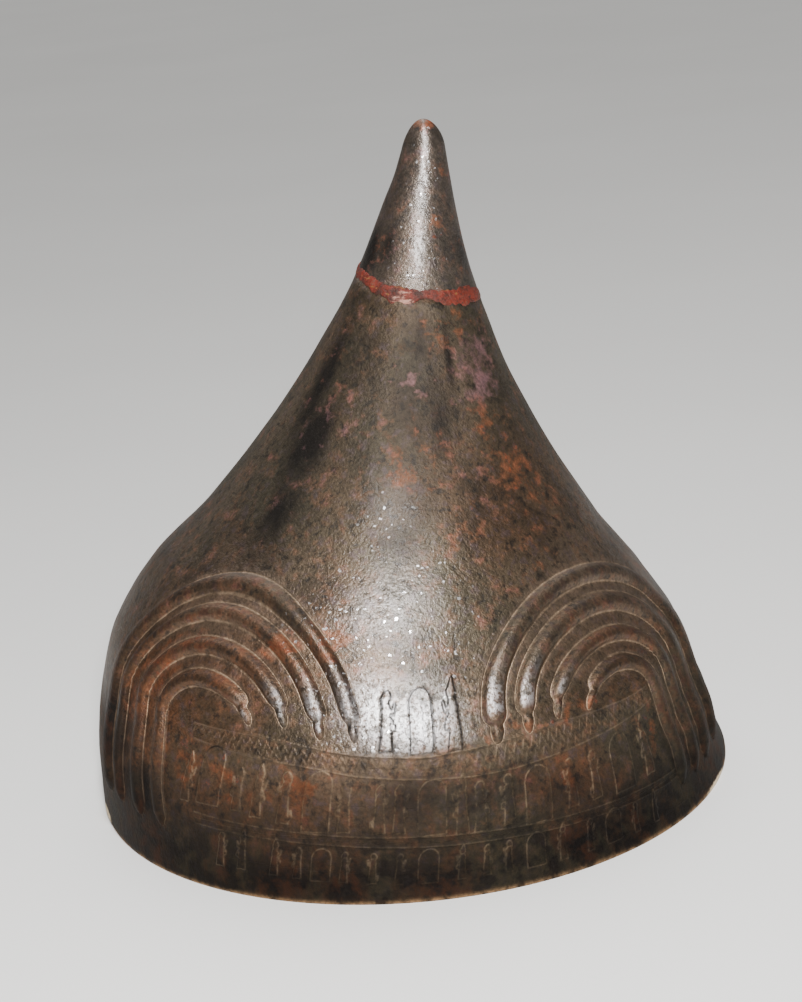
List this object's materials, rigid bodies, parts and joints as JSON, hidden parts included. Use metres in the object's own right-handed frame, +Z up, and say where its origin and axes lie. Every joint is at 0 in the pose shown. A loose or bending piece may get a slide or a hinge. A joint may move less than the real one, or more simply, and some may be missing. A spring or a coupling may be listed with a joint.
{
  "type": "conical bronze helmet",
  "caption": "Tall pointed sheet bronze helmet with a leaning tip rejoined by red filler, and arched raised ribs in two sets above the rim",
  "frame": {"origin": "centre of the bounding box, on the plane of the rim", "axes": "+Z up to the tip, -Y out of the front, which faces the wearer's view, +X to the right of someone looking at the front"},
  "size_m": [0.226, 0.236, 0.232],
  "materials": {
    "bronze_patina": "dark brown patina with rust red stains",
    "bronze_tip": "dark brown patina, rubbed",
    "red_filler": "matt red filler"
  },
  "bodies": {
    "root": {"helmet_bowl": "bronze_patina", "spire_tip": "bronze_tip", "seam_fill": "red_filler"}
  },
  "joints": []
}
